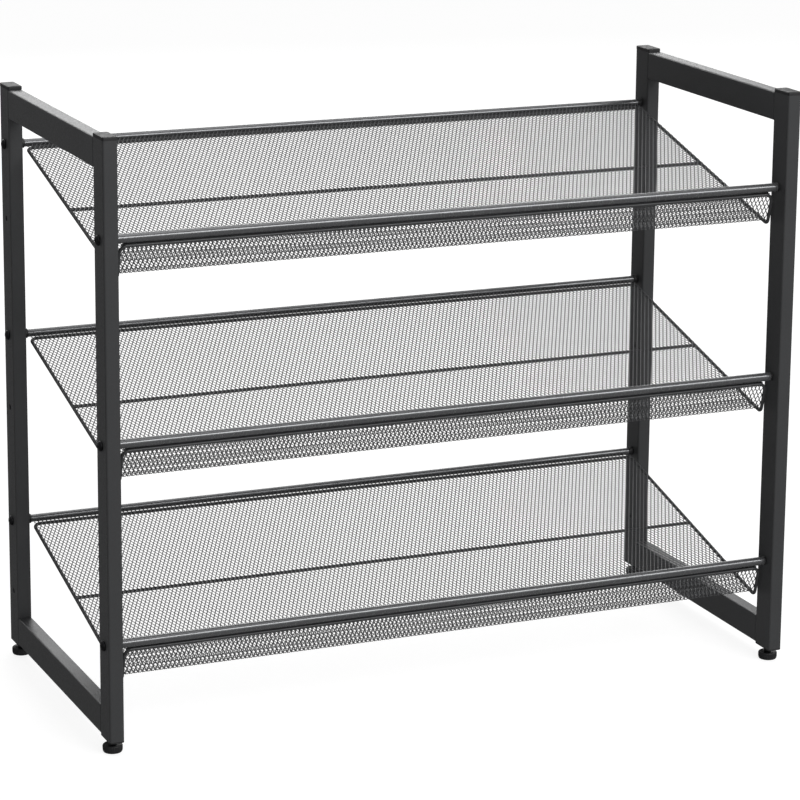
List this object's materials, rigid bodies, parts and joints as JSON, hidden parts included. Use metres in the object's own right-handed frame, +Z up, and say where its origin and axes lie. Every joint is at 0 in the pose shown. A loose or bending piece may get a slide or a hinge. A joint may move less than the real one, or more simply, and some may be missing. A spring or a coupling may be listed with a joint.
{
  "type": "tiered shoe rack",
  "caption": "Free-standing shoe rack of flat steel tube with sloping mesh trays that can be set level, and screw-in levelling feet.",
  "frame": {"origin": "on the floor, under the middle of the rack", "axes": "+X along the rack to the right seen from the front, -Y is the front where the tray lips are, +Z up"},
  "size_m": [0.757, 0.3404, 0.6153],
  "materials": {
    "frame_paint": "satin gunmetal powder coat",
    "rod_paint": "satin gunmetal powder coat",
    "wire_paint": "satin gunmetal powder coat",
    "mesh_paint": "satin gunmetal powder coat on expanded metal",
    "black_plastic": "moulded, fine grain",
    "foot_plastic": "moulded, ribbed edge",
    "black_bolt": "black oxide, satin"
  },
  "bodies": {
    "frame": {"post_front_left": "frame_paint", "cap_front_left": "black_plastic", "plug_front_left": "black_plastic", "post_rear_left": "frame_paint", "cap_rear_left": "black_plastic", "plug_rear_left": "black_plastic", "rail_top_left": "frame_paint", "rail_bottom_left": "frame_paint", "post_front_right": "frame_paint", "cap_front_right": "black_plastic", "plug_front_right": "black_plastic", "post_rear_right": "frame_paint", "cap_rear_right": "black_plastic", "plug_rear_right": "black_plastic", "rail_top_right": "frame_paint", "rail_bottom_right": "frame_paint", "bolt_bottom_front_left": "black_bolt", "bolt_bottom_rear_left": "black_bolt", "bolt_bottom_front_right": "black_bolt", "bolt_bottom_rear_right": "black_bolt", "bolt_middle_front_left": "black_bolt", "bolt_middle_rear_left": "black_bolt", "bolt_middle_front_right": "black_bolt", "bolt_middle_rear_right": "black_bolt", "bolt_top_front_left": "black_bolt", "bolt_top_rear_left": "black_bolt", "bolt_top_front_right": "black_bolt", "bolt_top_rear_right": "black_bolt"},
    "bottom_tray": {"bottom_front_rod": "rod_paint", "bottom_front_bush_left": "black_plastic", "bottom_front_bush_right": "black_plastic", "bottom_rear_rod": "rod_paint", "bottom_rear_bush_left": "black_plastic", "bottom_rear_bush_right": "black_plastic", "bottom_rim_wire": "wire_paint", "bottom_mid_wire": "wire_paint", "bottom_mesh": "mesh_paint"},
    "middle_tray": {"middle_front_rod": "rod_paint", "middle_front_bush_left": "black_plastic", "middle_front_bush_right": "black_plastic", "middle_rear_rod": "rod_paint", "middle_rear_bush_left": "black_plastic", "middle_rear_bush_right": "black_plastic", "middle_rim_wire": "wire_paint", "middle_mid_wire": "wire_paint", "middle_mesh": "mesh_paint"},
    "top_tray": {"top_front_rod": "rod_paint", "top_front_bush_left": "black_plastic", "top_front_bush_right": "black_plastic", "top_rear_rod": "rod_paint", "top_rear_bush_left": "black_plastic", "top_rear_bush_right": "black_plastic", "top_rim_wire": "wire_paint", "top_mid_wire": "wire_paint", "top_mesh": "mesh_paint"},
    "front_left_foot": {"foot_front_left": "foot_plastic"},
    "rear_left_foot": {"foot_rear_left": "foot_plastic"},
    "front_right_foot": {"foot_front_right": "foot_plastic"},
    "rear_right_foot": {"foot_rear_right": "foot_plastic"}
  },
  "joints": [
    {"name": "bottom_tray_tilt", "type": "hinge", "parent": "frame", "child": "bottom_tray", "pos_m": [0, -0.155, 0.11], "axis": [-1, 0, 0], "range_deg": [0, 14.34]},
    {"name": "middle_tray_tilt", "type": "hinge", "parent": "frame", "child": "middle_tray", "pos_m": [0, -0.155, 0.312], "axis": [-1, 0, 0], "range_deg": [0, 14.34]},
    {"name": "top_tray_tilt", "type": "hinge", "parent": "frame", "child": "top_tray", "pos_m": [0, -0.155, 0.514], "axis": [-1, 0, 0], "range_deg": [0, 14.34]},
    {"name": "front_left_foot_level", "type": "slide", "parent": "frame", "child": "front_left_foot", "axis": [0, 0, -1], "range_m": [-0.004, 0.008]},
    {"name": "rear_left_foot_level", "type": "slide", "parent": "frame", "child": "rear_left_foot", "axis": [0, 0, -1], "range_m": [-0.004, 0.008]},
    {"name": "front_right_foot_level", "type": "slide", "parent": "frame", "child": "front_right_foot", "axis": [0, 0, -1], "range_m": [-0.004, 0.008]},
    {"name": "rear_right_foot_level", "type": "slide", "parent": "frame", "child": "rear_right_foot", "axis": [0, 0, -1], "range_m": [-0.004, 0.008]}
  ]
}
